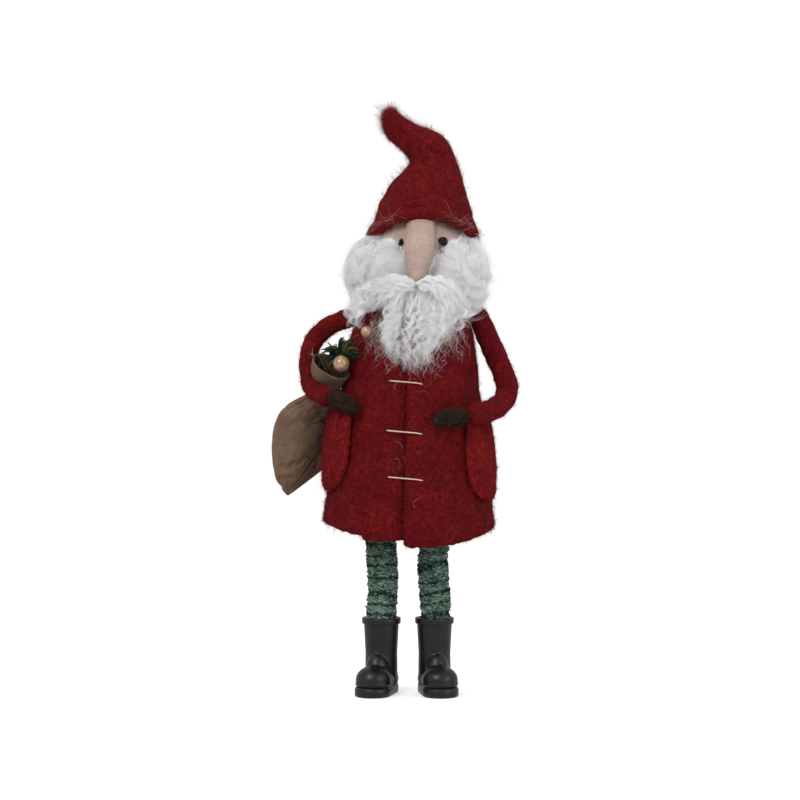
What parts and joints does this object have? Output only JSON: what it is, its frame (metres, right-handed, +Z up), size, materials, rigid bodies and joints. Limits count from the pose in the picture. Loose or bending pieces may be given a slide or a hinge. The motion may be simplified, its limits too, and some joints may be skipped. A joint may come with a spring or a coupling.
{
  "type": "tomte gnome figurine",
  "caption": "Standing felt gnome figurine with bendable wire arms, a red coat and bent cap, wool beard, knit stockings, boots and a small sack of greenery under one arm.",
  "frame": {"origin": "on the floor, in the middle of the box that the figure fills", "axes": "+Z up, the figure faces -Y, its left arm is towards +X"},
  "size_m": [0.088, 0.0533, 0.2096],
  "materials": {
    "red_felt": "matt fuzzy felt, darker and orange-red flecks",
    "skin_felt": "pale pink-beige needle felt",
    "white_wool": "loose curly wool locks",
    "mitten_felt": "dark brown needle felt",
    "sack_cloth": "fine plain-weave cotton, sewn seams",
    "stocking_knit": "gathered tweed knit with white flecks",
    "boot": "near-black, softly glossy moulded plastic",
    "core_felt": "pinkish-brown felt and wool stuffing",
    "peg_wood": "bare wood",
    "steel_wire": "plain bending wire",
    "eye_bead": "dark bead",
    "toggle_thread": "waxed cream thread",
    "berry_pearl": "pearly gold paint",
    "leaf": "thin dark olive-green blades",
    "stem": "thin brown stem"
  },
  "bodies": {
    "figure": {"boot_right": "boot", "boot_left": "boot", "leg_right": "core_felt", "leg_left": "core_felt", "stocking_right": "stocking_knit", "stocking_left": "stocking_knit", "body_core": "core_felt", "coat": "red_felt", "pocket_right": "red_felt", "pocket_left": "red_felt", "toggle_upper": "toggle_thread", "toggle_middle": "toggle_thread", "toggle_lower": "toggle_thread", "shoulder_wire": "steel_wire", "neck_peg": "peg_wood", "head": "skin_felt", "nose": "skin_felt", "eye_right": "eye_bead", "eye_left": "eye_bead", "hat": "red_felt", "side_hair_right": "white_wool", "side_hair_left": "white_wool", "back_hair": "white_wool", "beard": "white_wool", "moustache_right": "white_wool", "moustache_left": "white_wool"},
    "arm_right_upper": {"sleeve_upper_right": "red_felt", "arm_wire_upper_right": "steel_wire", "sack": "sack_cloth", "sack_filling": "core_felt", "berry_large": "berry_pearl", "berry_stem_large": "stem", "berry_small": "berry_pearl", "berry_stem_small": "stem", "leaf_sprig_1": "leaf", "leaf_sprig_2": "leaf", "leaf_sprig_3": "leaf"},
    "arm_right_lower": {"sleeve_lower_right": "red_felt", "arm_wire_lower_right": "steel_wire", "mitten_right": "mitten_felt"},
    "arm_left_upper": {"sleeve_upper_left": "red_felt", "arm_wire_upper_left": "steel_wire"},
    "arm_left_lower": {"sleeve_lower_left": "red_felt", "arm_wire_lower_left": "steel_wire", "mitten_left": "mitten_felt"}
  },
  "joints": [
    {"name": "shoulder_right", "type": "hinge", "parent": "figure", "child": "arm_right_upper", "pos_m": [-0.0181, -0.0003, 0.1344], "axis": [0, 1, 0], "range_deg": [0, 25]},
    {"name": "elbow_right", "type": "hinge", "parent": "arm_right_upper", "child": "arm_right_lower", "pos_m": [-0.0309, -0.0027, 0.1132], "axis": [0, 0, -1], "range_deg": [0, 55]},
    {"name": "shoulder_left", "type": "hinge", "parent": "figure", "child": "arm_left_upper", "pos_m": [0.0304, -0.0003, 0.1338], "axis": [0, -1, 0], "range_deg": [0, 35]},
    {"name": "elbow_left", "type": "hinge", "parent": "arm_left_upper", "child": "arm_left_lower", "pos_m": [0.0401, -0.0025, 0.1098], "axis": [0, 0, 1], "range_deg": [0, 60]}
  ]
}
